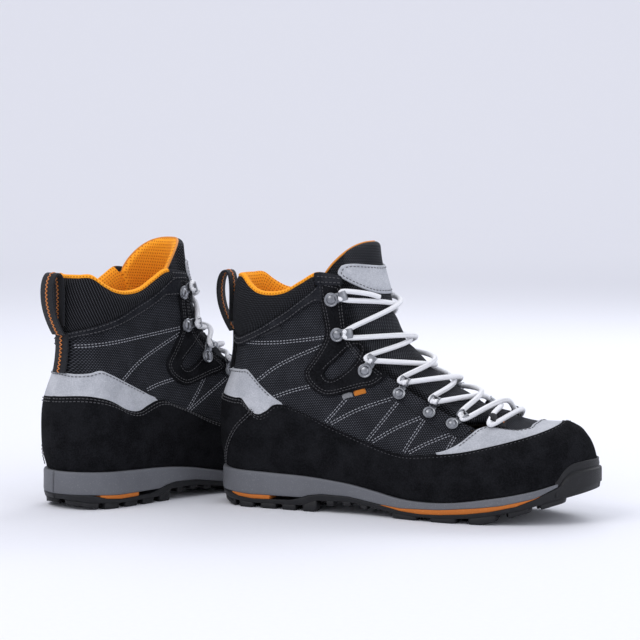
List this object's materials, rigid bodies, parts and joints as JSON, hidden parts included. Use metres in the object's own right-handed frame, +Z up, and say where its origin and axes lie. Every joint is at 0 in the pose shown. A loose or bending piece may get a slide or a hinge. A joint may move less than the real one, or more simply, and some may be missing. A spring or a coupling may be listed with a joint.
{
  "type": "hiking boots",
  "caption": "Pair of ankle-high lace-up hiking boots with suede rands, mesh quarters, padded collars, metal lace hardware and lugged rubber soles.",
  "frame": {"origin": "middle of the pair's footprint, on the floor", "axes": "+X from the right boot's heel to its toe, +Z up; the left boot stands beside it turned 67.8 degrees about +Z"},
  "size_m": [0.4258, 0.286, 0.2057],
  "materials": {
    "rubber": "moulded black outsole rubber, matt, scuffed lugs",
    "foam": "moulded mid-grey EVA foam with fine speckle",
    "orange_foam": "burnt orange EVA layer",
    "steel": "plain spring steel strip",
    "board": "fibre board",
    "insole": "dark brushed textile over foam",
    "lining": "orange perforated spacer mesh",
    "mesh": "woven charcoal abrasion mesh",
    "dark_suede": "near-black suede",
    "grey_suede": "light grey suede",
    "knit": "black ribbed knit over foam",
    "tongue_mesh": "black padded mesh",
    "webbing": "black woven webbing with orange stitching",
    "metal": "satin grey pressed metal",
    "lace": "white round braided lace"
  },
  "bodies": {
    "right_boot": {"right_outsole": "rubber", "right_midsole": "foam", "right_accent_layer": "orange_foam", "right_shank": "steel", "right_lasting_board": "board", "right_lining": "lining", "right_quarter_lateral": "mesh", "right_quarter_medial": "mesh", "right_vamp": "mesh", "right_rand": "dark_suede", "right_heel_overlay": "grey_suede", "right_toe_overlay": "grey_suede", "right_ankle_patch_lateral": "dark_suede", "right_ankle_patch_medial": "dark_suede", "right_eyestay_lateral": "mesh", "right_eyestay_medial": "mesh", "right_collar": "knit", "right_collar_binding": "dark_suede", "right_tongue": "tongue_mesh", "right_tongue_patch": "grey_suede", "right_tongue_lining": "lining", "right_pull_tab": "webbing", "right_hooks": "metal", "right_eyelets": "metal", "right_rivets": "metal", "right_toe_loops": "webbing", "right_lace": "lace", "right_heel_counter": "board", "right_toe_puff": "board"},
    "right_insole": {"right_footbed": "insole"},
    "left_boot": {"left_outsole": "rubber", "left_midsole": "foam", "left_accent_layer": "orange_foam", "left_shank": "steel", "left_lasting_board": "board", "left_lining": "lining", "left_quarter_lateral": "mesh", "left_quarter_medial": "mesh", "left_vamp": "mesh", "left_rand": "dark_suede", "left_heel_overlay": "grey_suede", "left_toe_overlay": "grey_suede", "left_ankle_patch_lateral": "dark_suede", "left_ankle_patch_medial": "dark_suede", "left_eyestay_lateral": "mesh", "left_eyestay_medial": "mesh", "left_collar": "knit", "left_collar_binding": "dark_suede", "left_tongue": "tongue_mesh", "left_tongue_patch": "grey_suede", "left_tongue_lining": "lining", "left_pull_tab": "webbing", "left_hooks": "metal", "left_eyelets": "metal", "left_rivets": "metal", "left_toe_loops": "webbing", "left_lace": "lace", "left_heel_counter": "board", "left_toe_puff": "board"},
    "left_insole": {"left_footbed": "insole"}
  },
  "joints": [
    {"name": "left_boot_lift", "type": "slide", "parent": "right_boot", "child": "left_boot", "axis": [0, 0, 1], "range_m": [0, 0.25]},
    {"name": "right_insole_peel", "type": "hinge", "parent": "right_boot", "child": "right_insole", "pos_m": [0.19852, -0.03261, 0.0379], "axis": [0, 1, 0], "range_deg": [0, 6]},
    {"name": "left_insole_peel", "type": "hinge", "parent": "left_boot", "child": "left_insole", "pos_m": [-0.0763, 0.12764, 0.0379], "axis": [-0.9259, 0.3778, 0], "range_deg": [0, 6]}
  ]
}
